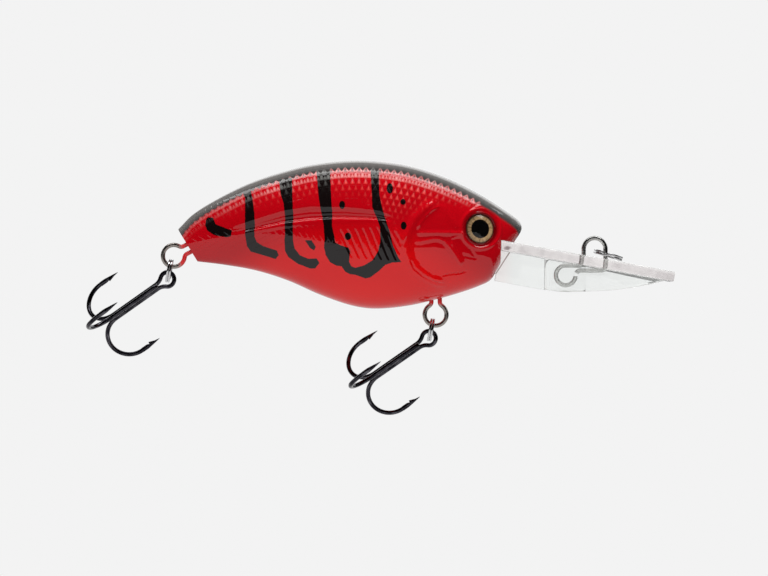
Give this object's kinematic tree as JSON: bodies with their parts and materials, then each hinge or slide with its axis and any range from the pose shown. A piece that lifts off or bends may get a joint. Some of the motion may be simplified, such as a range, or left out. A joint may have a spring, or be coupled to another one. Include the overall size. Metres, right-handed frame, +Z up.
{
  "type": "crankbait lure",
  "caption": "Deep-diving hard-bodied fishing lure with a clear sloping lip, wire line tie, split rings, swinging treble hooks and sliding rattles inside.",
  "frame": {"origin": "centre of the line tie's round loop, in the lure's middle plane", "axes": "+X points forward past the nose and lip, +Y to the lure's left side, +Z up to its back"},
  "size_m": [0.1119, 0.0192, 0.0484],
  "materials": {
    "painted_shell": "gloss red paint with near-black bars and a dusky back under a clear coat",
    "clear_plastic": "clear moulded polycarbonate",
    "split_ring_steel": "nickel-plated steel",
    "stainless_wire": "drawn stainless wire",
    "black_nickel": "black nickel plate",
    "eye_foil": "gold and brown metallic foil",
    "brass_weight": "turned brass",
    "ball_steel": "polished bearing steel"
  },
  "bodies": {
    "lure_body": {"left_body_shell": "painted_shell", "right_body_shell": "painted_shell", "diving_lip": "clear_plastic", "line_tie_wire": "stainless_wire", "belly_hanger": "stainless_wire", "tail_hanger": "stainless_wire", "left_eye_foil": "eye_foil", "left_eye_dome": "clear_plastic", "right_eye_foil": "eye_foil", "right_eye_dome": "clear_plastic", "ballast_slug": "brass_weight"},
    "tie_ring": {"line_tie_ring": "split_ring_steel"},
    "belly_link": {"belly_ring": "split_ring_steel"},
    "belly_treble": {"belly_treble_double_hook": "black_nickel", "belly_treble_single_hook": "black_nickel"},
    "tail_link": {"tail_ring": "split_ring_steel"},
    "tail_treble": {"tail_treble_double_hook": "black_nickel", "tail_treble_single_hook": "black_nickel"},
    "knocker": {"knocker_ball": "ball_steel"},
    "rattle_1": {"rattle_ball_1": "ball_steel"},
    "rattle_2": {"rattle_ball_2": "ball_steel"},
    "rattle_3": {"rattle_ball_3": "ball_steel"}
  },
  "joints": [
    {"name": "line_tie_ring_swing", "type": "hinge", "parent": "lure_body", "child": "tie_ring", "pos_m": [0, 0, 0], "axis": [0, -1, 0], "range_deg": [0, 150]},
    {"name": "belly_ring_swing", "type": "hinge", "parent": "lure_body", "child": "belly_link", "pos_m": [-0.03091, 0, -0.01443], "axis": [0.9848, 0, -0.1736], "range_deg": [-74, 26]},
    {"name": "belly_treble_swing", "type": "hinge", "parent": "belly_link", "child": "belly_treble", "pos_m": [-0.03138, 0.00121, -0.01711], "axis": [0.0706, 0.9135, 0.4006], "range_deg": [-100, 6]},
    {"name": "tail_ring_swing", "type": "hinge", "parent": "lure_body", "child": "tail_link", "pos_m": [-0.08064, 0, -0.00325], "axis": [0.9848, 0, -0.1736], "range_deg": [-74, 26]},
    {"name": "tail_treble_swing", "type": "hinge", "parent": "tail_link", "child": "tail_treble", "pos_m": [-0.08111, 0.00121, -0.00593], "axis": [0.0706, 0.9135, 0.4006], "range_deg": [-85, 45]},
    {"name": "knocker_slide", "type": "slide", "parent": "lure_body", "child": "knocker", "axis": [0, 1, 0], "range_m": [-0.0028, 0.0028]},
    {"name": "rattle_slide_1", "type": "slide", "parent": "lure_body", "child": "rattle_1", "axis": [1, 0, 0], "range_m": [0, 0.0038]},
    {"name": "rattle_slide_2", "type": "slide", "parent": "lure_body", "child": "rattle_2", "axis": [1, 0, 0], "range_m": [0, 0.0038]},
    {"name": "rattle_slide_3", "type": "slide", "parent": "lure_body", "child": "rattle_3", "axis": [1, 0, 0], "range_m": [0, 0.0038]}
  ],
  "couplings": [
    {"joint": "rattle_slide_2", "follows": "rattle_slide_1", "ratio": 1},
    {"joint": "rattle_slide_3", "follows": "rattle_slide_1", "ratio": 1}
  ]
}
